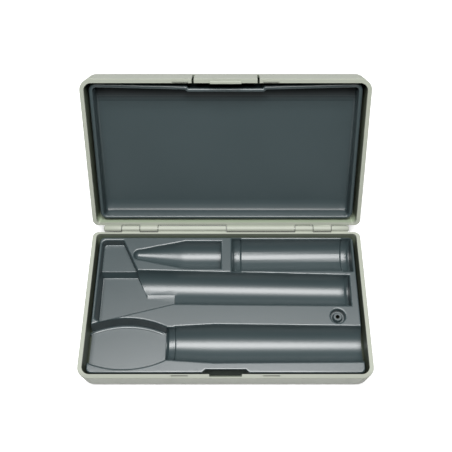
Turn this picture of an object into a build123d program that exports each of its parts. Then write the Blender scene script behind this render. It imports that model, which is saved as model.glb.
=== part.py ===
"""Hinged carry case for an otoscope and ophthalmoscope set, millimetres, +Z up.

Two moulded shells turn on a knuckle hinge along the back. Each holds a vacuum-formed
liner: the base liner has a pocket for each instrument, the lid liner is a plain pan.
A springy tongue in the lid's front wall carries the catch.

The origin is the centre of the base's underside. X runs along the case, and the
hinge is at +Y. Shells and liners are drawn as trays, with the rim at z = 0 and the
floor below it. The base's trays are lifted to their height. The lid's are turned
over onto the closed base and then swung open about the hinge pin.
"""

import os
from math import cos, radians, sin, tan

from build123d import *

os.makedirs("parts", exist_ok=True)

# ---- shells ----
case_length = 236.0
case_depth = 132.0
base_height = 24.0
lid_height = 24.5
side_wall = 3.4
front_wall = 3.5
back_wall = 2.0
floor_wall = 2.5
lid_panel = 1.8
outer_draft = 4.0
inner_draft = 1.0
front_corner = 10.0
back_corner = 5.2
inner_back_corner = 3.6
floor_edge = 5.0
inner_edge = 3.0
rim_chamfer = 0.4
rim_gap = 0.3
overshoot = 4.0

# ---- hinge ----
hinge_setback = 3.1
barrel_radius = 2.75
barrel_chamfer = 0.9
hinge_end_gap = 9.5
short_knuckle = 16.0
knuckle_gap = 0.3
web_drop = 7.0
web_root = 1.2
pin_radius = 1.0
pin_running_gap = 0.05
pin_tight_gap = 0.01
pin_inset = 1.0
open_angle = 123.0
stop_gap = 0.1
stop_reach = 4.5
stop_side_gap = 2.0
stop_back = 1.2
stop_heel = 1.8

# ---- latch tongue, catch and locating ribs on the front walls ----
tongue_width = 51.0
tongue_height = 17.5
slit_width = 1.8
root_gap = 0.05
tab_width = 25.2
tab_thickness = 2.0
tab_reach = 2.5
tab_root = 3.0
tab_setback = 0.2
tab_edge = 0.3
barb_size = 0.5
barb_height = 0.4
barb_gap = 0.1
lip_thickness = 1.5
notch_gap = 0.3
notch_depth = 5.0
notch_slope = 1.5
lip_height = 0.6
groove_height = 1.8
groove_depth = 0.6
rib_offset = 36.5
rib_length = 12.6
rib_thickness = 0.9
rib_reach = 1.2
rib_gap = 0.35

# ---- liners, each formed from one sheet ----
sheet = 0.9
lid_sheet = 0.6
liner_drop = 5.0
liner_side_gap = 2.6
liner_front_gap = 2.9
liner_back_gap = 0.8
liner_corner = 4.0
liner_edge = 1.2
mouth_round = 1.6
floor_round = 0.8
skirt_lean = 1.0
skirt_lift = 3.5
pad_thickness = 0.6
latch_recess_width = 33.0
latch_recess_depth = 2.6
latch_recess_slant = 2.8

# ---- pockets in the base liner ----
pocket_draft = 3.5
head_side_land = 2.4
head_back_land = 3.2
# Plan of the otoscope head's pocket from its back left corner: x, y and corner radius.
head_outline = [
    (0.0, 0.0, 3.5),
    (18.5, 0.0, 1.6),
    (42.9, -50.2, 2.0),
    (65.6, -50.2, 1.4),
    (67.0, -59.7, 1.4),
    (4.6, -75.9, 2.0),
    (0.0, -73.0, 2.0),
]
head_shelf_length = 27.2
head_shelf_rise = 7.0
head_step_run = 2.8
neck_ledge_start = 41.1
neck_ledge_end = 64.8
neck_ledge_back = 46.4
neck_ledge_width = 2.6
neck_ledge_height = 0.45
neck_ledge_run = 5.0
handle_row = 12.2
handle_start = -79.0
handle_side_land = 6.4
handle_radii = (15.4, 14.9, 14.0)
handle_turn = -1.03
handle_rise = 0.4
back_row = 17.2
specula_ends = (-76.4, -36.0, -4.9)
specula_radii = (4.7, 13.2)
specula_lift = 0.3
flanged_length = 104.8
flanged_side_land = 2.4
flanged_radius = 15.2
flange_radius = 16.1
flange_width = 7.4
front_row = 24.5
oval_end = -48.9
oval_side_reach = 5.1
oval_end_half = 13.8
oval_half_width = 21.5
oval_corner = 1.4
oval_rise = 1.4
neck_ends = (-50.0, -41.0)
neck_radius = 13.7
long_ends = (-42.0, -10.0)
long_side_reach = 6.0
long_radii = (14.3, 16.2, 15.0)
long_turn = -0.2
long_rise = 0.1
lamp_side_land = 18.6
lamp_row = -13.1
lamp_radius = 6.0
lamp_depth = 5.0
lamp_lean = 0.3
boss_radius = 4.4
boss_drop = 2.2
boss_edge = 0.6
lamp_hole_radius = 1.75

# ---- pan in the lid liner ----
ridge_drop = 4.0
ridge_width = 3.0
ridge_outer_round = 1.8
ridge_inner_round = 1.1
ridge_side_gap = 3.3
ridge_corner_gap = 1.7
ridge_middle_gap = 3.8
ridge_back_gap = 2.3
ridge_corner = 6.0
ridge_recess_half = 30.0
ridge_recess_depth = 1.8
ridge_recess_slant = 1.5
pan_depth = 12.0
pan_draft = 4.0
pan_floor_round = 2.0
lid_skirt_draft = 3.0

# ---- adhesive pads under the liners ----
base_pad = (26.0, 12.0)
lid_pad = (18.0, 8.0)
head_pads = (17.6, -44.0, -62.0)
oval_pad = 28.0
lid_pad_x = 72.0
lid_pad_y = 32.0

# ---- derived places ----
inner_half = case_length / 2 - side_wall
inner_front = -case_depth / 2 + front_wall
inner_back = case_depth / 2 - back_wall
parting_z = base_height + rim_gap
axis_y = case_depth / 2 + hinge_setback
axis_z = base_height + rim_gap / 2
hinge_line = Axis((0, axis_y, axis_z), (1, 0, 0))
hinge_half_length = case_length / 2 - hinge_end_gap
long_knuckle = hinge_half_length - 3 * short_knuckle
base_floor = -base_height + floor_wall
lid_floor = -lid_height + lid_panel
liner_half = inner_half - liner_side_gap
liner_front = inner_front + liner_front_gap
liner_back = inner_back - liner_back_gap
deep = -base_floor - pad_thickness - sheet - liner_drop
head_x = -liner_half + head_side_land
head_y = liner_back - head_back_land
handle_y = (liner_front + liner_back) / 2 + handle_row
back_y = liner_back - back_row
front_y = liner_front + front_row
lamp_x = liner_half - lamp_side_land
lamp_y = (liner_front + liner_back) / 2 + lamp_row


# ---- placing ----


def in_base(tray):
    """Lift a part drawn as a tray into the base."""
    return Pos(0, 0, base_height) * tray


def on_lid(tray):
    """Turn a part drawn as a tray over onto the closed base."""
    return Pos(0, 0, parting_z) * mirror(tray, about=Plane.XY)


def swing_open(part):
    """Swing a closed lid part back about the hinge pin."""
    return part.rotate(hinge_line, -open_angle)


def save(part, node):
    """Write one node."""
    export_step(part, f"parts/{node}.step")


def slab(x, y, z):
    """Box between the given pairs of limits."""
    size = Box(x[1] - x[0], y[1] - y[0], z[1] - z[0])
    return Pos((x[0] + x[1]) / 2, (y[0] + y[1]) / 2, (z[0] + z[1]) / 2) * size


def side_profile(points, x0, x1):
    """Solid with the given (y, z) outline between two x positions."""
    outline = make_face(Polyline(*points, close=True))
    return Pos(x0, 0, 0) * extrude(Plane.YZ * outline, amount=x1 - x0, dir=(1, 0, 0))


# ---- shells ----


def tray_block(walls, corners, height, rise, draft, edge):
    """Drafted block from z = rise down to -height.

    Its outline at z = 0 is inset from the case's by walls: side, front and back.
    """
    lean = tan(radians(draft))
    y0 = -case_depth / 2 + walls[1]
    y1 = case_depth / 2 - walls[2]
    length = case_length - 2 * walls[0] + 2 * rise * lean
    width = y1 - y0 + 2 * rise * lean
    tall = height + rise
    inset = tall * lean
    block = Wedge(length, tall, width, inset, inset, length - inset, width - inset)
    block = Pos(0, (y0 + y1) / 2, (rise - height) / 2) * Rot(-90, 0, 0) * block
    block = fillet(uprights(block, height)[:2], corners[0])
    block = fillet(uprights(block, height)[-2:], corners[1])
    return fillet(block.faces().sort_by(Axis.Z)[0].edges(), edge)


def uprights(block, height):
    """A drafted block's corner edges, front ones first."""
    tall = block.edges().filter_by(lambda e: abs((e @ 0).Z - (e @ 1).Z) > height / 2)
    return tall.sort_by(Axis.Y)


def shell(height, floor):
    """Moulded tray with a drafted outside, a flat floor and its rim's outer edge broken."""
    corners = (front_corner, back_corner)
    outside = tray_block((0, 0, 0), corners, height, 0, outer_draft, floor_edge)
    outside = chamfer(outside.faces().sort_by(Axis.Z)[-1].edges(), rim_chamfer)
    walls = (side_wall, front_wall, back_wall)
    corners = (front_corner - side_wall, inner_back_corner)
    depth = height - floor
    return outside - tray_block(walls, corners, depth, overshoot, inner_draft, inner_edge)


# ---- hinge ----


def knuckle_spans():
    """Limits along X of the lid's and the base's knuckles, from left to right."""
    half = hinge_half_length
    ends = [-half + i * short_knuckle for i in range(4)]
    ends += [0.0]
    ends += [half - i * short_knuckle for i in range(3, -1, -1)]
    spans = [(a + knuckle_gap / 2, b - knuckle_gap / 2) for a, b in zip(ends, ends[1:])]
    lid = [spans[0], spans[2], spans[4], spans[6]]
    base = [spans[1], spans[3], spans[5], spans[7]]
    return lid, base


def opened(y, z):
    """A lid point, given from the closed hinge axis as (y, z), once the lid is open."""
    c = cos(radians(open_angle))
    s = sin(radians(open_angle))
    return y * c + z * s, -y * s + z * c


def barrel(x0, x1, bore_gap):
    """Knuckle barrel bored for the pin, with its outer end chamfered on an end knuckle."""
    length = x1 - x0
    tube = Pos((x0 + x1) / 2, axis_y, axis_z) * Rot(0, 90, 0) * Cylinder(barrel_radius, length)
    for end in tube.edges().filter_by(GeomType.CIRCLE):
        if abs(abs(end.center().X) - hinge_half_length) < knuckle_gap:
            tube = chamfer(end, barrel_chamfer)
    return tube, pin_hole(x0, x1, bore_gap)


def pin_hole(x0, x1, gap):
    """Bore for the hinge pin through one knuckle."""
    hole = Cylinder(pin_radius + gap, x1 - x0 + 2)
    return Pos((x0 + x1) / 2, axis_y, axis_z) * Rot(0, 90, 0) * hole


def web(x0, x1, rim_z, up):
    """Gusset from a knuckle to its shell's back wall. up is +1 on the lid, -1 on the base."""
    wall_y = case_depth / 2 - web_root
    points = [
        (wall_y, rim_z),
        (axis_y, rim_z),
        (axis_y, axis_z + up * barrel_radius),
        (wall_y, rim_z + up * web_drop),
    ]
    inset = barrel_chamfer * (abs(abs(x0 + x1) / 2 - hinge_half_length) < short_knuckle)
    left = inset if x0 < 0 else 0
    right = inset if x0 > 0 else 0
    return side_profile(points, x0 + left, x1 - right)


def stop_nose(x0, x1):
    """Spur behind a base knuckle that the lid's back wall lands on when it is fully open."""
    lean = tan(radians(outer_draft))
    near = opened(-hinge_setback + stop_gap, rim_chamfer + rim_gap)
    far = opened(-hinge_setback - stop_reach * lean + stop_gap, stop_reach)
    heel = (far[0] - stop_back, far[1] - stop_heel)
    points = [(0, 0), near, far, heel, (0, -barrel_radius)]
    placed = [(axis_y + y, axis_z + z) for y, z in points]
    return side_profile(placed, x0, x1)


def add_knuckles(part, spans, rim_z, up, bore_gap):
    """Join a row of knuckles to a shell and bore them."""
    holes = []
    for x0, x1 in spans:
        tube, hole = barrel(x0, x1, bore_gap)
        part += tube + web(x0, x1, rim_z, up)
        if up < 0 and x1 - x0 < long_knuckle / 2:
            part += stop_nose(x0 + stop_side_gap, x1 - stop_side_gap)
        holes.append(hole)
    for hole in holes:
        part -= hole
    return part


def hinge_pin(side):
    """One of the two pins. side is -1 on the left, +1 on the right."""
    length = hinge_half_length - 2 * pin_inset
    pin = Rot(0, 90, 0) * Cylinder(pin_radius, length)
    pin = chamfer(pin.edges(), pin_radius / 4)
    return Pos(side * hinge_half_length / 2, axis_y, axis_z) * pin


# ---- latch ----

lip_y = -case_depth / 2 + lip_thickness
tab_y = lip_y + tab_setback
tab_end_z = parting_z - tab_reach
groove_top = base_height - lip_height
rib_y = -case_depth / 2 + front_wall / 2


def latch_notch():
    """Recess in the base's front wall that the catch drops into, with its undercut."""
    half = tab_width / 2 + notch_gap
    top = base_height + 1
    deep = base_height - notch_depth
    well = inner_front + 1
    ledge = [(lip_y, top), (lip_y, deep), (well, deep - notch_slope), (well, top)]
    notch = side_profile(ledge, -half, half)
    under = slab((-half, half), (lip_y - groove_depth, lip_y + 1), (groove_top - groove_height, groove_top))
    return notch + under


def rib_shape(grow, z0, z1):
    """Both locating ribs, or, grown by a gap, the slots for them."""
    ribs = Part()
    for side in (-1, 1):
        x = side * rib_offset
        half = rib_length / 2 + grow
        thick = rib_thickness / 2 + grow
        ribs += slab((x - half, x + half), (rib_y - thick, rib_y + thick), (z0, z1))
    return ribs


def tongue_window(half, top):
    """Block that covers the lid's front wall from below its rim up to the tongue's root."""
    return slab((-half, half), (-case_depth / 2 - 1, inner_front + 2), (parting_z - 1, top))


def catch_tab():
    """Tab below the tongue with a barb on its outer side."""
    half = tab_width / 2
    y0 = tab_y
    y1 = tab_y + tab_thickness
    z0 = tab_end_z
    z1 = parting_z + tab_root
    catch_z = groove_top - barb_gap
    points = [
        (y0, z1),
        (y0, catch_z),
        (y0 - barb_size, catch_z - barb_gap),
        (y0 - barb_size, catch_z - barb_height),
        (y0, z0 + tab_edge),
        (y0 + tab_edge, z0),
        (y1 - tab_edge, z0),
        (y1, z0 + tab_edge),
        (y1, z1),
    ]
    return side_profile(points, -half, half)


# ---- liners ----


def plan_rectangle(half, y0, y1, z, corner):
    """Rounded plan outline at a height."""
    face = Pos(0, (y0 + y1) / 2) * Rectangle(2 * half, y1 - y0)
    return Pos(0, 0, z) * fillet(face.vertices(), corner)


def skirt_block(drop, end, inset):
    """Outside of a liner from its top at -drop down to z = end, or its inside when inset."""
    half = liner_half - inset
    y0 = liner_front + inset
    y1 = liner_back - inset
    corner = liner_corner - inset
    top = plan_rectangle(half, y0, y1, -drop - inset, corner)
    flare = skirt_lean
    bottom = plan_rectangle(half + flare, y0 - flare, y1 + flare / 5, end, corner)
    return loft([bottom, top])


def tapered_plug(outline, top, depth, grow, draft):
    """Straight pocket plug under a plan outline, open above the liner's top."""
    face = Pos(0, 0, top) * offset(outline, amount=grow)
    down = extrude(face, amount=depth + grow, dir=(0, 0, -1), taper=draft)
    up = extrude(face, amount=overshoot)
    return down + up


def rounded_polygon(corners):
    """Plan polygon through (x, y, radius) corners."""
    face = make_face(Polyline(*[(x, y) for x, y, _ in corners], close=True))
    for x, y, radius in corners:
        corner = face.vertices().sort_by_distance((x, y, 0))[0]
        face = fillet(corner, radius)
    return face


def latch_recess(grow):
    """Set-back in a liner's front that leaves room for the tongue and its catch."""
    half = latch_recess_width / 2
    back = liner_front + latch_recess_depth
    wide = half + latch_recess_slant
    out = liner_front - 3 * skirt_lean
    spread = latch_recess_slant * (liner_front - out) / latch_recess_depth
    points = [(-half, back), (half, back), (wide + spread, out), (-wide - spread, out)]
    face = offset(make_face(Polyline(*points, close=True)), amount=grow)
    return Pos(0, 0, -base_height - overshoot) * extrude(face, amount=base_height + 2 * overshoot)


def plug_fillet(plug, radius):
    """Round a straight plug's flat floors, so that the pocket has no sharp corner inside."""
    floors = plug.faces().filter_by(Axis.Z).sort_by(Axis.Z)[:-1]
    return fillet(floors.edges(), radius)


def turned_plug(profile, y, lift, grow, tilt=0.0):
    """Pocket for a round piece lying along X. profile lists (x, radius) from left to right."""
    points = [(x, r + grow) for x, r in profile]
    first = (profile[0][0] - grow, profile[0][1] + grow)
    last = (profile[-1][0] + grow, profile[-1][1] + grow)
    outline = [(first[0], 0), first] + points[1:-1] + [last, (last[0], 0)]
    face = make_face(Plane.XZ * Polyline(*outline, close=True))
    turned = revolve(face, Axis.X)
    return Pos(0, y, -liner_drop + lift) * Rot(0, 0, tilt) * turned


def head_plug(grow):
    """Otoscope head: a shelf for the lens at the back and a deep floor."""
    top = -liner_drop
    plan = rounded_polygon([(head_x + x, head_y + y, r) for x, y, r in head_outline])
    walls = tapered_plug(plan, top, deep, grow, pocket_draft)
    step_y = head_y - head_shelf_length
    floor_z = top - deep - grow
    shelf_z = floor_z + head_shelf_rise
    side = [
        (case_depth, shelf_z),
        (step_y + grow, shelf_z),
        (step_y - head_step_run + grow, floor_z),
        (-case_depth, floor_z),
        (-case_depth, top + overshoot),
        (case_depth, top + overshoot),
    ]
    plug = walls & side_profile(side, -case_length / 2, 0)
    return plug if grow else plug_fillet(plug, floor_round)


def neck_ledge(grow):
    """Slope from the handle's trough down to the deep floor, along the handle's neck."""
    floor_z = -liner_drop - deep - grow
    back = head_y - neck_ledge_back + grow
    foot = back - neck_ledge_width
    points = [
        (foot - neck_ledge_run, floor_z),
        (foot, floor_z),
        (back, floor_z + neck_ledge_height),
        (back, -liner_drop),
        (foot - neck_ledge_run, -liner_drop),
    ]
    return side_profile(points, head_x + neck_ledge_start, head_x + neck_ledge_end + grow)


def handle_plug(grow):
    """Trough for the otoscope's handle, slightly narrower and turned towards its end."""
    ends = (handle_start, 0.0, liner_half - handle_side_land)
    lift = handle_radii[0] - deep + handle_rise
    return turned_plug(list(zip(ends, handle_radii)), handle_y, lift, grow, handle_turn)


def specula_plug(grow):
    """Cone and barrel for the ear specula."""
    tip_x, cone_x, end_x = specula_ends
    tip_r, barrel_r = specula_radii
    cone = [(tip_x, tip_r), (cone_x, barrel_r), (end_x, barrel_r)]
    tip = Pos(tip_x, back_y, -liner_drop + specula_lift) * Sphere(tip_r + grow)
    return turned_plug(cone, back_y, specula_lift, grow) + tip


def flanged_plugs(grow):
    """Barrel and the flange at each end of it."""
    x1 = liner_half - flanged_side_land
    x0 = x1 - flanged_length
    lift = flange_radius - deep
    spans = [
        (x0 + flange_width / 2, x1 - flange_width / 2, flanged_radius),
        (x0, x0 + flange_width, flange_radius),
        (x1 - flange_width, x1, flange_radius),
    ]
    return [turned_plug([(a, r), (b, r)], back_y, lift, grow) for a, b, r in spans]


def oval_plug(grow):
    """Ophthalmoscope head: an oval with a flat floor that runs out through the liner's side."""
    x0 = -liner_half - oval_side_reach
    mid = (x0 + oval_end) / 2
    half = oval_end_half
    far = ThreePointArc((x0, half), (mid, oval_half_width), (oval_end, half))
    near = ThreePointArc((x0, -half), (mid, -oval_half_width), (oval_end, -half))
    sides = [far, near, Line((x0, -half), (x0, half)), Line((oval_end, -half), (oval_end, half))]
    plan = Pos(0, front_y) * make_face(sides)
    plan = fillet(plan.vertices().group_by(Axis.X)[-1], oval_corner)
    plug = tapered_plug(plan, -liner_drop, deep - oval_rise, grow, pocket_draft)
    return plug if grow else plug_fillet(plug, floor_round)


def long_handle_plugs(grow):
    """Neck and trough for the ophthalmoscope's handle, open at the liner's right side."""
    lift = long_radii[1] - deep + long_rise
    neck = turned_plug([(x, neck_radius) for x in neck_ends], front_y, lift, grow)
    ends = (*long_ends, liner_half + long_side_reach)
    return [neck, turned_plug(list(zip(ends, long_radii)), front_y, lift, grow, long_turn)]


def lamp_plug(grow):
    """Round recess for a spare lamp with a hollow boss in its middle."""
    top = -liner_drop
    rim = lamp_radius + grow
    floor_z = top - lamp_depth - grow
    boss_top = top - boss_drop - grow
    boss = boss_radius - grow
    points = [
        (0, boss_top),
        (boss - 2 * boss_edge, boss_top),
        (boss - boss_edge, boss_top - boss_edge),
        (boss, floor_z),
        (rim - lamp_lean, floor_z),
        (rim, top),
        (rim, top + overshoot),
        (0, top + overshoot),
    ]
    face = make_face(Plane.XZ * Polyline(*points, close=True))
    return Pos(lamp_x, lamp_y, 0) * revolve(face, Axis.Z)


def flared(plug, top, radius):
    """Pocket plug whose mouth is rounded over at the liner's top."""
    box = plug.bounding_box()
    margin = 2 * radius
    x = (box.min.X - margin, box.max.X + margin)
    y = (box.min.Y - margin, box.max.Y + margin)
    around = slab(x, y, (box.min.Z - margin, top))
    land = around - plug
    mouth = land.faces().sort_by(Axis.Z)[-1].inner_wires()[0].edges()
    return around - fillet(mouth, radius)


def base_pockets(grow):
    """Every pocket of the base liner, as separate straight plugs."""
    return [
        head_plug(grow),
        handle_plug(grow),
        specula_plug(grow),
        *flanged_plugs(grow),
        oval_plug(grow),
        *long_handle_plugs(grow),
        lamp_plug(grow),
    ]


def formed_liner(block, core, pockets, cores):
    """Sheet between the liner's upper surface and the core that it was formed over."""
    for pocket in pockets:
        block -= pocket
    for plug in cores:
        core -= plug
    return block - core


def base_liner():
    """Instrument tray: skirt, flat top and a pocket for each piece of the set."""
    floor_z = base_floor + pad_thickness
    block = skirt_block(liner_drop, floor_z, 0) - latch_recess(0)
    block = fillet(block.faces().sort_by(Axis.Z)[-1].edges(), liner_edge)
    under = (-base_height, base_floor + skirt_lift)
    low = slab((-case_length, case_length), (-case_depth, case_depth), under)
    core = skirt_block(liner_drop, floor_z - overshoot, sheet) + low
    pockets = [flared(plug, -liner_drop, mouth_round) for plug in base_pockets(0)]
    cores = base_pockets(sheet) + [neck_ledge(sheet), latch_recess(sheet)]
    liner = formed_liner(block, core, pockets + [neck_ledge(0)], cores)
    hole = Pos(lamp_x, lamp_y, -liner_drop) * Cylinder(lamp_hole_radius, 2 * lamp_depth)
    return liner - hole


def ridge_outline():
    """Plan of the lid liner's ridge, bowed in towards the set-back for the tongue."""
    half = inner_half - ridge_side_gap
    corner_y = inner_front + ridge_corner_gap
    middle_y = inner_front + ridge_middle_gap
    recess_y = middle_y + ridge_recess_depth
    outer = ridge_recess_half + ridge_recess_slant
    right = [(ridge_recess_half, recess_y), (outer, middle_y), (half, corner_y)]
    left = [(-x, y) for x, y in reversed(right)]
    back = inner_back - ridge_back_gap
    face = make_face(Polyline(*left, *right, (half, back), (-half, back), close=True))
    corners = face.vertices().filter_by(lambda v: abs(v.X) > half - 0.1)
    return fillet(corners, ridge_corner)


def lid_liner():
    """Plain pan with a rounded ridge all round and a skirt down towards the lid's panel."""
    top = -ridge_drop
    end = lid_floor + inner_edge
    outline = ridge_outline()
    outer = Pos(0, 0, top) * outline
    block = extrude(outer, amount=top - end, dir=(0, 0, -1), taper=-lid_skirt_draft)
    block = fillet(block.faces().sort_by(Axis.Z)[-1].edges(), ridge_outer_round)
    inner = Pos(0, 0, top - lid_sheet) * offset(outline, amount=-lid_sheet)
    core = extrude(inner, amount=top - end, dir=(0, 0, -1), taper=-lid_skirt_draft)
    pan = offset(outline, amount=-ridge_width)
    plug = plug_fillet(tapered_plug(pan, top, pan_depth, 0, pan_draft), pan_floor_round)
    grown = tapered_plug(pan, top, pan_depth, lid_sheet, pan_draft)
    return formed_liner(block, core, [flared(plug, top, ridge_inner_round)], [grown])


# ---- adhesive pads ----


def pad(x, y, size, floor_z, under_z):
    """One pad between a shell's floor and the underside of a liner."""
    dx = size[0] / 2
    dy = size[1] / 2
    return slab((x - dx, x + dx), (y - dy, y + dy), (floor_z, under_z))


def base_pads():
    """Pads under the flat pocket floors."""
    under = -liner_drop - deep - sheet
    x, back, front = head_pads
    pads = pad(head_x + x, head_y + back, base_pad, base_floor, under)
    pads += pad(head_x + x, head_y + front, base_pad, base_floor, under)
    return pads + pad(-liner_half + oval_pad, front_y, base_pad, base_floor, under + oval_rise)


def lid_pads():
    """Foam blocks between the pan's floor and the lid's panel."""
    under = -ridge_drop - pan_depth - lid_sheet
    pads = Part()
    for x in (-lid_pad_x, lid_pad_x):
        for y in (-lid_pad_y, lid_pad_y):
            pads += pad(x, y, lid_pad, lid_floor, under)
    return pads


# ---- the assembly ----

lid_spans, base_spans = knuckle_spans()
tongue_top = parting_z + tongue_height

base_shell = add_knuckles(in_base(shell(base_height, floor_wall)), base_spans, base_height, -1, pin_tight_gap)
base_shell -= latch_notch() + rib_shape(rib_gap, base_height - rib_reach - rib_gap, base_height + 1)

lid_tray = on_lid(shell(lid_height, lid_panel))
lid_shell = lid_tray - tongue_window(tongue_width / 2 + slit_width, tongue_top)
lid_shell = add_knuckles(lid_shell, lid_spans, parting_z, 1, pin_running_gap)
lid_shell += rib_shape(0, parting_z - rib_reach, parting_z + 0.5)
tongue = (lid_tray & tongue_window(tongue_width / 2, tongue_top - root_gap)) + catch_tab()

save(base_shell, "base_shell")
save(in_base(base_liner()), "base_liner")
save(in_base(base_pads()), "base_liner_pads")
save(hinge_pin(-1), "hinge_pin_left")
save(hinge_pin(1), "hinge_pin_right")
save(swing_open(lid_shell), "lid_shell")
save(swing_open(on_lid(lid_liner())), "lid_liner")
save(swing_open(on_lid(lid_pads())), "lid_liner_pads")
save(swing_open(tongue), "latch_tongue")
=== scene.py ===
"""Looks for a hinged instrument carry case, metres, in the same frame as its solids."""

import math
from math import radians

import bmesh
import bpy
from mathutils import Matrix, Vector


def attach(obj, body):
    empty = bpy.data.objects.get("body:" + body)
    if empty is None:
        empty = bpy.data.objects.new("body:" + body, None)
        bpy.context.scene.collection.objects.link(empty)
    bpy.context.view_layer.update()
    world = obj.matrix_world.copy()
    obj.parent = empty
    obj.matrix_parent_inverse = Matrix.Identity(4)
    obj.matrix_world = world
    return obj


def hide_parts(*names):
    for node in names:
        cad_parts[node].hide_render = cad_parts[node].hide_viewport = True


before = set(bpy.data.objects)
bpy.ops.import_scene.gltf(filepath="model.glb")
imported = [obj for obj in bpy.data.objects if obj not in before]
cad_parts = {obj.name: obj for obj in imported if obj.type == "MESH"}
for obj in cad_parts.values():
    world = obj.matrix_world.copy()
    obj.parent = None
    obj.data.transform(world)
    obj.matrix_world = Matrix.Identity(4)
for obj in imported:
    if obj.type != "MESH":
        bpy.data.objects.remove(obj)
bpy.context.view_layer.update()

# The camera looks down on the open case from the catch side, 60 degrees above the table.
camera_data = bpy.data.cameras.new("camera")
camera_data.lens = 54.56
camera_data.sensor_width = 36.0
camera_data.shift_x = -0.0188
camera_data.shift_y = -0.0232
camera = bpy.data.objects.new("camera", camera_data)
camera.location = (0.0071, -0.2273, 0.5544)
camera.rotation_euler = (radians(30.3), 0, 0)
bpy.context.scene.collection.objects.link(camera)
bpy.context.scene.camera = camera
bpy.context.scene.view_settings.view_transform = "Standard"


# One large soft box hangs over the table, a little to the catch side of straight above.
# The room beyond it is dim, and its backdrop is white.
box_light = bpy.data.lights.new("overhead_box", "AREA")
box_light.shape = "RECTANGLE"
box_light.size = 1.0
box_light.size_y = 0.82
box_light.energy = 36.5
overhead_box = bpy.data.objects.new("overhead_box", box_light)
overhead_box.location = (0.0, -0.15, 1.3)
overhead_box.rotation_euler = (radians(-7), 0, 0)
bpy.context.scene.collection.objects.link(overhead_box)

room = bpy.data.worlds.new("room")
room.use_nodes = True
bpy.context.scene.world = room
nodes = room.node_tree.nodes
links = room.node_tree.links
seen = nodes.new("ShaderNodeLightPath")
backdrop = nodes.new("ShaderNodeBackground")
backdrop.inputs["Color"].default_value = (1, 1, 1, 1)
backdrop.inputs["Strength"].default_value = 1.0
dim = nodes["Background"]
dim.inputs["Color"].default_value = (1, 1, 1, 1)
dim.inputs["Strength"].default_value = 0.05
pick = nodes.new("ShaderNodeMixShader")
links.new(seen.outputs["Is Camera Ray"], pick.inputs["Fac"])
links.new(dim.outputs[0], pick.inputs[1])
links.new(backdrop.outputs[0], pick.inputs[2])
links.new(pick.outputs[0], nodes["World Output"].inputs["Surface"])


# A plain white table top that the case lies on. It glows faintly, and more so further out,
# until it is as white as the backdrop.
def new_material(name):
    """A material with its tree's nodes and links."""
    material = bpy.data.materials.new(name)
    material.use_nodes = True
    return material, material.node_tree.nodes, material.node_tree.links


bm = bmesh.new()
bmesh.ops.create_grid(bm, x_segments=1, y_segments=1, size=3.0)
table_mesh = bpy.data.meshes.new("table_top")
bm.to_mesh(table_mesh)
bm.free()
table_top = bpy.data.objects.new("table_top", table_mesh)
bpy.context.scene.collection.objects.link(table_top)
table_paint, nodes, links = new_material("table_paint")
paint = nodes["Principled BSDF"]
paint.inputs["Base Color"].default_value = (0.86, 0.86, 0.86, 1)
paint.inputs["Roughness"].default_value = 0.9
paint.inputs["Specular IOR Level"].default_value = 0.0
place = nodes.new("ShaderNodeTexCoord")
distance = nodes.new("ShaderNodeVectorMath")
distance.operation = "LENGTH"
further = nodes.new("ShaderNodeMapRange")
further.inputs["From Min"].default_value = 0.35
further.inputs["From Max"].default_value = 1.2
further.inputs["To Min"].default_value = 0.3
further.inputs["To Max"].default_value = 1.0
seen = nodes.new("ShaderNodeLightPath")
strength = nodes.new("ShaderNodeMath")
strength.operation = "MULTIPLY"
glow = nodes.new("ShaderNodeEmission")
glow.inputs["Color"].default_value = (1, 1, 1, 1)
both = nodes.new("ShaderNodeAddShader")
links.new(place.outputs["Object"], distance.inputs[0])
links.new(distance.outputs["Value"], further.inputs["Value"])
links.new(seen.outputs["Is Camera Ray"], strength.inputs[0])
links.new(further.outputs["Result"], strength.inputs[1])
links.new(strength.outputs[0], glow.inputs["Strength"])
links.new(paint.outputs[0], both.inputs[0])
links.new(glow.outputs[0], both.inputs[1])
links.new(both.outputs[0], nodes["Material Output"].inputs["Surface"])
table_mesh.materials.append(table_paint)


# Both shells and the catch's tongue are moulded in one sage grey ABS. The tool's fine
# spark-eroded grain shows as a soft bump, and the plastic is faintly uneven in colour.
join_distance = 1e-6


def grained_plastic(name, colours, roughness, shine, cloud, grain, relief):
    """Plastic with faint clouds and a fine grain.

    colours are the clouds' light and dark one, cloud and grain are each a noise's scale and
    detail, and relief is the grain's strength and depth.
    """
    light, dark = colours
    material, nodes, links = new_material(name)
    skin = nodes["Principled BSDF"]
    skin.inputs["Roughness"].default_value = roughness
    skin.inputs["Specular IOR Level"].default_value = shine
    place = nodes.new("ShaderNodeTexCoord")
    clouds = nodes.new("ShaderNodeTexNoise")
    grains = nodes.new("ShaderNodeTexNoise")
    for noise, (scale, detail) in ((clouds, cloud), (grains, grain)):
        noise.inputs["Scale"].default_value = scale
        noise.inputs["Detail"].default_value = detail
        links.new(place.outputs["Object"], noise.inputs["Vector"])
    shade = nodes.new("ShaderNodeValToRGB")
    for stop, position, colour in zip(shade.color_ramp.elements, (0.3, 0.7), (dark, light)):
        stop.position = position
        stop.color = (*colour, 1)
    bump = nodes.new("ShaderNodeBump")
    bump.inputs["Strength"].default_value, bump.inputs["Distance"].default_value = relief
    links.new(clouds.outputs["Fac"], shade.inputs["Fac"])
    links.new(shade.outputs["Color"], skin.inputs["Base Color"])
    links.new(grains.outputs["Fac"], bump.inputs["Height"])
    links.new(bump.outputs["Normal"], skin.inputs["Normal"])
    return material


def moulded_plastic(name):
    sage = ((0.283, 0.300, 0.254), (0.268, 0.285, 0.240))
    return grained_plastic(name, sage, 0.42, 0.26, (38.0, 3.0), (2600.0, 2.0), (0.25, 0.00012))


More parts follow.
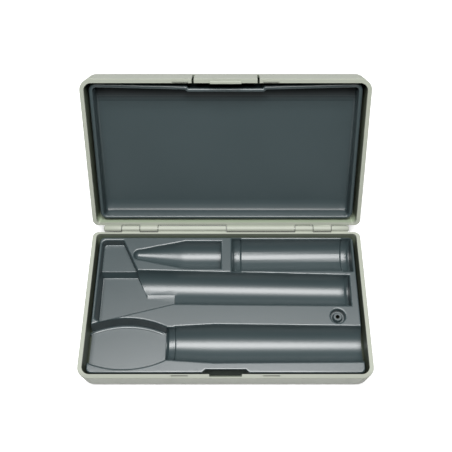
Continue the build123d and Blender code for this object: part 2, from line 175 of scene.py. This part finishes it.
def dress(node, material):
    """Give a solid's every material slot the same finish."""
    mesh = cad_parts[node].data
    mesh.materials.clear()
    mesh.materials.append(material)


def smooth_solid(node):
    """Join a solid's loose triangles for show, so that its curves shade as curves."""
    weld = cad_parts[node].modifiers.new("joined", "WELD")
    weld.merge_threshold = join_distance


base_plastic = moulded_plastic("base_plastic")
lid_plastic = moulded_plastic("lid_plastic")
tongue_plastic = moulded_plastic("tongue_plastic")
for node, plastic in (
    ("base_shell", base_plastic),
    ("lid_shell", lid_plastic),
    ("latch_tongue", tongue_plastic),
):
    smooth_solid(node)
    dress(node, plastic)


# Painted shade: each shell's inner wall below its rim is painted darker, where the narrow
# gap round the liner lies in shade, less so on the back wall. Painted shadow lines run between
# the knuckles and in the grooves that the other shell's knuckles run in. The base's front is
# painted darker and the barrels a little lighter. A pair of values is where a change of colour
# starts and ends, as the shut case lies.
hinge_line = Vector((0.0, 0.0691, 0.02415))
open_turn = radians(123)
rim_height = 0.0241
wall_middle_x = 0.1163
wall_middle_y = 0.0646
wall_centre_y = 0.0004
wall_blur = 0.0003
panel_blur = 0.0002
rim_fade = (0.0004, 0.0042)
back_wall = (0.0575, 0.063)
# Where the front's painted shade and the barrels' painted highlight fade in, and how much
# lighter the barrels are painted.
front_rim = (-0.0645, -0.058)
barrel_front = (0.064, 0.0665)
barrel_highlight = 1.07
first_knuckle = 0.0605
knuckle_pitch = 0.016
knuckle_root = (0.0662, 0.0666)
row_end = (0.1080, 0.1084)
groove_front = (0.0650, 0.0656)
groove_back = (0.0664, 0.0668)
groove_depth = (0.0012, 0.0025)
# The painted shadow lines round the knuckles: their width, strength and colour.
shadow_line_width = (0.0002, 0.00055)
shadow_line_strength = 0.75
shadow_line_colour = (0.03, 0.033, 0.026, 1)
shaded_sage = (0.9, 1.0, 0.86)


def measure(tree, kind, *given):
    """One arithmetic step on a surface's place. Each given value is a number or an output."""
    step = tree.nodes.new("ShaderNodeMath")
    step.operation = kind
    for socket, value in zip(step.inputs, given):
        if isinstance(value, bpy.types.NodeSocket):
            tree.links.new(value, socket)
        else:
            socket.default_value = value
    return step.outputs[0]


def product(tree, value, *others):
    """All the given values multiplied together."""
    for other in others:
        value = measure(tree, "MULTIPLY", value, other)
    return value


def ramp(tree, value, span, low=0.0, high=1.0):
    """low before the span, high after it, and smooth along it."""
    step = tree.nodes.new("ShaderNodeMapRange")
    step.interpolation_type = "SMOOTHSTEP"
    tree.links.new(value, step.inputs["Value"])
    names = ("From Min", "From Max", "To Min", "To Max")
    for name, number in zip(names, (*span, low, high)):
        step.inputs[name].default_value = number
    return step.outputs["Result"]


def blend(tree, kind, factor, under):
    """Mix a colour over the one under it. Returns the node, whose socket 7 is the upper one."""
    mix = tree.nodes.new("ShaderNodeMix")
    mix.data_type = "RGBA"
    mix.blend_type = kind
    tree.links.new(factor, mix.inputs["Factor"])
    tree.links.new(under, mix.inputs[6])
    return mix


def paint_shell_shade(material, is_base, turned, panel, side_shade, back_shade, front_shade):
    """Paint shade on a shell's walls by their place, with painted shadow lines round the
    knuckles.

    is_base is 1.0 or 0.0, turned is the shell's turn at rest from the shut case, and panel is
    how far below the rim its floor lies. The last three scale the painted shade on the inner
    walls but the back, on the inner back wall, and on the shell's front wall and rim.
    """
    tree = material.node_tree
    skin = tree.nodes["Principled BSDF"]
    plain = skin.inputs["Base Color"].links[0].from_socket
    place = tree.nodes.new("ShaderNodeTexCoord")
    shut_place = tree.nodes.new("ShaderNodeMapping")
    shut_place.inputs["Rotation"].default_value = (turned, 0, 0)
    shut_place.inputs["Location"].default_value = (
        hinge_line - Matrix.Rotation(turned, 3, "X") @ hinge_line
    )
    split = tree.nodes.new("ShaderNodeSeparateXYZ")
    tree.links.new(place.outputs["Object"], shut_place.inputs["Vector"])
    tree.links.new(shut_place.outputs["Vector"], split.inputs["Vector"])
    x, y, z = split.outputs
    across = measure(tree, "ABSOLUTE", x)
    along = measure(tree, "ABSOLUTE", measure(tree, "SUBTRACT", y, wall_centre_y))
    below = measure(tree, "ABSOLUTE", measure(tree, "SUBTRACT", z, rim_height))

    inside = product(
        tree,
        ramp(tree, across, (wall_middle_x - wall_blur, wall_middle_x + wall_blur), 1, 0),
        ramp(tree, along, (wall_middle_y - wall_blur, wall_middle_y + wall_blur), 1, 0),
        ramp(tree, below, rim_fade),
        ramp(tree, below, (panel - panel_blur, panel + panel_blur), 1, 0),
    )
    # Painted shade: the inner walls are painted darker, less so towards the back wall.
    shade_factor = ramp(tree, y, back_wall, side_shade, back_shade)
    shaded = tree.nodes.new("ShaderNodeCombineColor")
    for socket, share in zip(shaded.inputs, shaded_sage):
        tree.links.new(measure(tree, "MULTIPLY", shade_factor, share), socket)
    walls = blend(tree, "MULTIPLY", inside, plain)
    tree.links.new(shaded.outputs["Color"], walls.inputs[7])

    # Painted shade and highlight: the front is painted darker, and the knuckle barrels a little
    # lighter.
    outside = tree.nodes.new("ShaderNodeVectorMath")
    outside.operation = "SCALE"
    tree.links.new(walls.outputs[2], outside.inputs[0])
    outside_light_and_shade = product(
        tree,
        ramp(tree, y, front_rim, front_shade, 1.0),
        ramp(tree, y, barrel_front, 1.0, barrel_highlight),
    )
    tree.links.new(outside_light_and_shade, outside.inputs["Scale"])

    # Painted shadow lines in the gaps between knuckles, and in the groove where the other
    # shell's knuckle runs.
    past_first = measure(tree, "SUBTRACT", across, first_knuckle)
    gap = measure(tree, "MAXIMUM", past_first, -knuckle_pitch / 4)
    gap = measure(tree, "PINGPONG", gap, knuckle_pitch / 2)
    gap = measure(tree, "MINIMUM", gap, across)
    between = product(tree, ramp(tree, gap, shadow_line_width, 1, 0), ramp(tree, y, knuckle_root))
    knuckle = measure(tree, "FLOOR", measure(tree, "DIVIDE", past_first, knuckle_pitch))
    odd = measure(tree, "PINGPONG", measure(tree, "MAXIMUM", knuckle, -1.0), 1.0)
    on_right = measure(tree, "GREATER_THAN", x, 0.0)
    on_base = measure(tree, "ABSOLUTE", measure(tree, "SUBTRACT", odd, on_right))
    behind = product(
        tree,
        measure(tree, "ABSOLUTE", measure(tree, "SUBTRACT", is_base, on_base)),
        ramp(tree, y, groove_front),
        ramp(tree, y, groove_back, 1, 0),
        ramp(tree, below, groove_depth, 1, 0),
        ramp(tree, across, row_end, 1, 0),
    )
    # The painted shadow lines are mixed over the colour in a near black.
    shadow_lines = measure(tree, "MAXIMUM", between, behind)
    shadow_lines = measure(tree, "MULTIPLY", shadow_lines, shadow_line_strength)
    finished = blend(tree, "MIX", shadow_lines, outside.outputs["Vector"])
    finished.inputs[7].default_value = shadow_line_colour
    tree.links.new(finished.outputs[2], skin.inputs["Base Color"])


paint_shell_shade(base_plastic, 1.0, 0.0, 0.0228, 0.3, 0.72, 0.8)
paint_shell_shade(lid_plastic, 0.0, open_turn, 0.0237, 0.42, 1.0, 1.0)


# The base liner is vacuum formed from slate grey sheet with a satin face. The tool's turned
# inserts leave sharp score lines across its troughs: one at each step of the flanged handle,
# at the rounded trough ends and on both sides of the neck.
def formed_sheet(name, shade_factor=1.0, shine=0.8):
    light, dark = ((0.0305, 0.0455, 0.0490), (0.027, 0.041, 0.0442))
    # A factor below 1 paints the sheet's colour darker, as painted shade.
    colours = (tuple(shade_factor * part for part in light), tuple(shade_factor * part for part in dark))
    relief = (0.2, 0.00015)
    return grained_plastic(name, colours, 0.365, shine, (14.0, 4.0), (1800.0, 3.0), relief)


crease_turn = radians(32)


def sheet_copy(node):
    """A joined copy of a liner that the forming tool's finer lines are pressed into."""
    bm = bmesh.new()
    bm.from_mesh(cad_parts[node].data)
    bmesh.ops.remove_doubles(bm, verts=bm.verts, dist=join_distance)
    bm.normal_update()
    for face in bm.faces:
        face.material_index = 0
    return bm


def hang_sheet(bm, name, node, body, finishes):
    """Make the pressed copy a piece that stands for its solid."""
    bmesh.ops.remove_doubles(bm, verts=bm.verts, dist=join_distance)
    bmesh.ops.triangulate(bm, faces=[face for face in bm.faces if len(face.verts) > 4])
    bm.normal_update()
    for face in bm.faces:
        face.smooth = True
    for edge in bm.edges:
        edge.smooth = len(edge.link_faces) == 2 and edge.calc_face_angle(0) < crease_turn
    mesh = bpy.data.meshes.new(name)
    bm.to_mesh(mesh)
    bm.free()
    stale = mesh.attributes.get("custom_normal")
    if stale:
        mesh.attributes.remove(stale)
    for finish in finishes:
        mesh.materials.append(finish)
    piece = bpy.data.objects.new(name, mesh)
    bpy.context.scene.collection.objects.link(piece)
    even = piece.modifiers.new("even_shading", "WEIGHTED_NORMAL")
    even.mode = "FACE_AREA_WITH_ANGLE"
    even.keep_sharp = True
    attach(piece, body)
    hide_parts(node)


def cut_across(bm, faces, place, direction):
    """Cut some of a mesh's faces where a plane meets them."""
    edges = {edge for face in faces for edge in face.edges}
    verts = {vert for face in faces for vert in face.verts}
    bmesh.ops.bisect_plane(
        bm, geom=[*faces, *edges, *verts], dist=join_distance, plane_co=place, plane_no=direction
    )


sheet_thickness = 0.0009
land_height = 0.019
wall_inside = 0.0016
wall_outside = 0.0032
cut_top = land_height - 0.0004
press_top = land_height - 0.0008
press_fade = 0.0014
underside_top = land_height - 0.004
underside_reach = 0.0013


def score(bm, y, z, turn, line):
    """Press a line across a trough. line lists (x, radius) of the sheet's upper face.

    The sheet's two faces move together, and less so towards the land round the trough. The
    underside stays as it is near the land, where another trough may lie close behind it.
    """
    lean = math.tan(radians(turn))
    xs = [x for x, radius in line]
    first_radius = line[0][1]
    widest = max(radius for x, radius in line)

    def reach(vert):
        return math.hypot(vert.co.y - y - lean * vert.co.x, vert.co.z - z)

    def on_wall(vert):
        return first_radius - wall_inside < reach(vert) < first_radius + wall_outside

    def near(face):
        return (
            all(on_wall(vert) and vert.co.z < cut_top for vert in face.verts)
            and min(vert.co.x for vert in face.verts) < xs[-1]
            and max(vert.co.x for vert in face.verts) > xs[0]
        )

    for x in xs:
        cut_across(bm, [face for face in bm.faces if near(face)], (x, 0, 0), (1, 0, 0))
    bm.normal_update()
    for vert in bm.verts:
        x = vert.co.x
        if not xs[0] + join_distance < x < xs[-1] - join_distance:
            continue
        if vert.co.z > press_top or not on_wall(vert):
            continue
        radius = reach(vert)
        out = Vector((0, vert.co.y - y - lean * x, vert.co.z - z)) / radius
        under = vert.normal.dot(out) > 0
        if under and (vert.co.z > underside_top or radius > widest + underside_reach):
            continue
        step = max(i for i in range(len(xs)) if xs[i] <= x)
        part = (x - xs[step]) / (xs[step + 1] - xs[step])
        wanted = line[step][1] + part * (line[step + 1][1] - line[step][1])
        wanted += sheet_thickness if under else 0
        vert.co += out * (wanted - radius) * min(1.0, (press_top - vert.co.z) / press_fade)


# Each trough is given by the y and z of its centre line and its turn in degrees.
long_row = -0.0351
long_trough = (long_row, 0.0203, 0)
flanged_trough = (0.046, 0.0201, 0)
handle_trough = (0.014, 0.0198, -1.03)
liner_sheet = formed_sheet("liner_sheet")
base_sheet = sheet_copy("base_liner")
for trough, *line in (
    (flanged_trough, (0.0051, 0.0161), (0.0060, 0.0166), (0.0070, 0.0161)),
    (flanged_trough, (0.0116, 0.0161), (0.0123, 0.0165), (0.0134, 0.0152)),
    (flanged_trough, (0.1010, 0.0152), (0.1021, 0.0165), (0.1028, 0.0161)),
    (flanged_trough, (0.1068, 0.0161), (0.1078, 0.0166), (0.1086, 0.0161)),
    (long_trough, (-0.0424, 0.0137), (-0.0419, 0.0147), (-0.0413, 0.01434)),
    (long_trough, (-0.0494, 0.0137), (-0.0483, 0.0153), (-0.0472, 0.0137)),
    (handle_trough, (0.1020, 0.01404), (0.1034, 0.0148), (0.1046, 0.0140)),
):
    score(base_sheet, *trough, line)
hang_sheet(base_sheet, "base_sheet", "base_liner", "base", [liner_sheet])


# The oval pocket's floor stands a little proud along its curved back wall, where the sheet
# thinned out over the tool's edge. The proud edge is a low rounded bead, which dies away
# into the floor at both ends.
def lay_on_liner(bm, name):
    """Make a finished form a piece of the base liner's sheet."""
    bmesh.ops.remove_doubles(bm, verts=bm.verts, dist=join_distance)
    bmesh.ops.recalc_face_normals(bm, faces=bm.faces)
    mesh = bpy.data.meshes.new(name)
    bm.to_mesh(mesh)
    bm.free()
    mesh.materials.append(liner_sheet)
    piece = bpy.data.objects.new(name, mesh)
    bpy.context.scene.collection.objects.link(piece)
    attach(piece, "base")


bead_half_width = 0.0013
bead_height = 0.00055
bead_floor = 0.00541
bead_inset = 0.0024
bead_dive = 0.0008
bead_dive_start = 0.8
bead_share = 0.95
oval_reach = -0.1171
oval_end = -0.0489
oval_bulge = 0.0077
oval_half = 0.0138
half_chord = (oval_end - oval_reach) / 2
arc_radius = (half_chord**2 + oval_bulge**2) / (2 * oval_bulge)
arc_centre = Vector((
    (oval_reach + oval_end) / 2, long_row + oval_half + oval_bulge - arc_radius, 0
))
bead_sweep = 2 * math.asin(half_chord / arc_radius) * bead_share
bm = bmesh.new()
ring = bmesh.ops.create_circle(bm, cap_ends=True, segments=16, radius=bead_half_width)["verts"]
bmesh.ops.scale(bm, verts=ring, vec=(bead_height / bead_half_width, 1, 1))
bmesh.ops.rotate(bm, verts=ring, matrix=Matrix.Rotation(radians(90), 3, "Y"))
bmesh.ops.translate(bm, verts=ring, vec=(0, arc_radius - bead_inset, bead_floor))
bmesh.ops.rotate(bm, verts=ring, matrix=Matrix.Rotation(bead_sweep / 2, 3, "Z"))
bmesh.ops.spin(
    bm, geom=bm.verts[:] + bm.edges[:] + bm.faces[:], axis=(0, 0, 1), cent=(0, 0, 0),
    angle=-bead_sweep, steps=48,
)
for vert in bm.verts:
    share = abs(math.atan2(vert.co.x, vert.co.y)) / (bead_sweep / 2)
    dive = min(1.0, max(0.0, (share - bead_dive_start) / (1 - bead_dive_start)))
    vert.co.z -= bead_dive * dive**2
bmesh.ops.translate(bm, verts=bm.verts, vec=arc_centre)
for face in bm.faces:
    face.smooth = len(face.verts) == 4
lay_on_liner(bm, "oval_bead")


# Trimming rolled the base liner's front edge over, so a low rounded bead runs along it and
# round the recess that clears the catch.
rolled_front = -0.0582
rolled_back = rolled_front + 0.0026
rolled_flatness = 0.35
rolled_sink = 0.0005
right_half = [
    (0.0168, rolled_back, 0),
    (0.0196, rolled_front, 0),
    (0.1050, rolled_front, 0),
    (0.1072, rolled_front, -0.001),
    (0.1090, rolled_front + 0.0012, -0.004),
]
left_half = [(-x, y, z) for x, y, z in reversed(right_half)]
rolled = bpy.data.curves.new("rolled_edge", "CURVE")
rolled.dimensions = "3D"
rolled.bevel_depth = 0.0015
rolled.bevel_resolution = 4
rolled.use_fill_caps = True
run = rolled.splines.new("POLY")
run.points.add(2 * len(right_half) - 1)
for point, place in zip(run.points, left_half + right_half):
    point.co = (*place, 1.0)
bent = bpy.data.objects.new("rolled_edge_line", rolled)
bm = bmesh.new()
bm.from_mesh(bent.to_mesh())
bpy.data.objects.remove(bent)
bmesh.ops.scale(bm, verts=bm.verts, vec=(1, 1, rolled_flatness))
bmesh.ops.translate(bm, verts=bm.verts, vec=(0, 0, land_height - rolled_sink))
for face in bm.faces:
    face.smooth = True
lay_on_liner(bm, "rolled_edge")


# The lid's pan is formed from a thinner sheet, which doesn't reach into the corner between
# the tool's floor and walls. It bridges it in a broad soft cove. The stretched sheet is
# duller in the front cove, and along the fold at the back, and its colour there is painted
# darker as painted shade, darkest next to the pan's front wall.
pan_floor = 0.0403
pan_lip = 0.0295
level_slack = 0.00005
wall_reach = 0.004
cove_cuts = (0.0, 0.12, 0.25, 0.4, 0.56, 0.75, 1.0)
back_cove = 0.009
back_lean = math.tan(radians(21))
front_cove = 0.0125
front_lean = 1.35 * back_lean
side_cove = 0.006
side_lean = 0.5 * back_lean
fold_turn = -0.97
fold_shaded_finish = 5


def cove_rise(distance, width, lean):
    """How far the sheet stands off the pan's floor at a distance from the floor's edge."""
    if distance >= width:
        return 0.0
    if distance <= 0:
        return lean * (width / 2 - distance)
    return lean * (width - distance) ** 2 / (2 * width)


lid_sheet = sheet_copy("lid_liner")
shut = (
    Matrix.Translation(hinge_line)
    @ Matrix.Rotation(open_turn, 4, "X")
    @ Matrix.Translation(-hinge_line)
)
bmesh.ops.transform(lid_sheet, matrix=shut, verts=lid_sheet.verts)
level = [vert.co for vert in lid_sheet.verts if abs(vert.co.z - pan_floor) < level_slack]
pan_back = max(co.y for co in level)
pan_front = min(co.y for co in level)
edges_of_pan = [
    (1, -1, pan_back, back_cove, back_lean),
    (1, 1, pan_front, front_cove, front_lean),
    (0, 1, min(co.x for co in level), side_cove, side_lean),
    (0, -1, max(co.x for co in level), side_cove, side_lean),
]


def in_pan(co):
    return co.z > pan_lip and all(
        side * (co[axis] - edge) > -wall_reach for axis, side, edge, width, lean in edges_of_pan
    )


for axis, side, edge, width, lean in edges_of_pan:
    across_pan = Vector((axis == 0, axis == 1, 0))
    for cut in cove_cuts:
        faces = [face for face in lid_sheet.faces if all(in_pan(v.co) for v in face.verts)]
        cut_across(lid_sheet, faces, across_pan * (edge + side * width * cut), across_pan)
for vert in lid_sheet.verts:
    if in_pan(vert.co):
        rise = sum(
            cove_rise(side * (vert.co[axis] - edge), width, lean)
            for axis, side, edge, width, lean in edges_of_pan
        )
        vert.co.z -= rise * min(1.0, (vert.co.z - pan_lip) / (pan_floor - pan_lip))
lid_sheet.normal_update()
# The front cove's faces get the dull sheets, darkest next to the pan's front wall, and the back
# fold one of them: painted shade.
for face in lid_sheet.faces:
    if all(in_pan(vert.co) for vert in face.verts) and face.normal.z < 0:
        middle = face.calc_center_median().y
        share = (middle - pan_front) / front_cove
        if share < 1:
            face.material_index = 1 + sum(share > cut for cut in cove_cuts[1:-1])
        elif middle > pan_back and face.normal.y > fold_turn:
            face.material_index = fold_shaded_finish
bmesh.ops.transform(lid_sheet, matrix=shut.inverted(), verts=lid_sheet.verts)
# Painted shade: each dull sheet's colour is scaled down by its first value; the second is its
# shine.
shades_and_shines = (
    (0.22, 0.05), (0.27, 0.07), (0.34, 0.12), (0.47, 0.2), (0.66, 0.36), (0.84, 0.57),
)
shaded_dull_sheets = [
    formed_sheet(f"shaded_dull_sheet_{i}", shade_factor, shine)
    for i, (shade_factor, shine) in enumerate(shades_and_shines)
]
hang_sheet(lid_sheet, "lid_sheet", "lid_liner", "lid", [liner_sheet, *shaded_dull_sheets])


# The hinge turns on two lengths of drawn steel wire, pressed into the base's knuckles.
# Drawing leaves fine lines along them.
def drawn_wire(name):
    material, nodes, links = new_material(name)
    skin = nodes["Principled BSDF"]
    skin.inputs["Metallic"].default_value = 1.0
    skin.inputs["Base Color"].default_value = (0.6, 0.6, 0.59, 1)
    place = nodes.new("ShaderNodeTexCoord")
    along = nodes.new("ShaderNodeMapping")
    along.inputs["Scale"].default_value = (20, 4000, 4000)
    lines = nodes.new("ShaderNodeTexNoise")
    lines.inputs["Scale"].default_value = 1.0
    rough = nodes.new("ShaderNodeMapRange")
    rough.inputs["To Min"].default_value = 0.22
    rough.inputs["To Max"].default_value = 0.42
    links.new(place.outputs["Object"], along.inputs["Vector"])
    links.new(along.outputs["Vector"], lines.inputs["Vector"])
    links.new(lines.outputs["Fac"], rough.inputs["Value"])
    links.new(rough.outputs["Result"], skin.inputs["Roughness"])
    return material


wire = drawn_wire("drawn_wire")
for node in ("hinge_pin_left", "hinge_pin_right"):
    smooth_solid(node)
    dress(node, wire)


# Black foam pads, cut from adhesive sheet, hold the liners down in the shells. Their open
# cells pit the surface.
def foam(name):
    material, nodes, links = new_material(name)
    skin = nodes["Principled BSDF"]
    skin.inputs["Roughness"].default_value = 0.95
    place = nodes.new("ShaderNodeTexCoord")
    cells = nodes.new("ShaderNodeTexVoronoi")
    cells.inputs["Scale"].default_value = 1500.0
    shade = nodes.new("ShaderNodeValToRGB")
    shade.color_ramp.elements[0].color = (0.006, 0.006, 0.007, 1)
    shade.color_ramp.elements[1].color = (0.03, 0.03, 0.032, 1)
    bump = nodes.new("ShaderNodeBump")
    bump.inputs["Strength"].default_value = 0.6
    bump.inputs["Distance"].default_value = 0.0003
    links.new(place.outputs["Object"], cells.inputs["Vector"])
    links.new(cells.outputs["Distance"], shade.inputs["Fac"])
    links.new(shade.outputs["Color"], skin.inputs["Base Color"])
    links.new(cells.outputs["Distance"], bump.inputs["Height"])
    links.new(bump.outputs["Normal"], skin.inputs["Normal"])
    return material


pad_foam = foam("pad_foam")
for node in ("base_liner_pads", "lid_liner_pads"):
    dress(node, pad_foam)
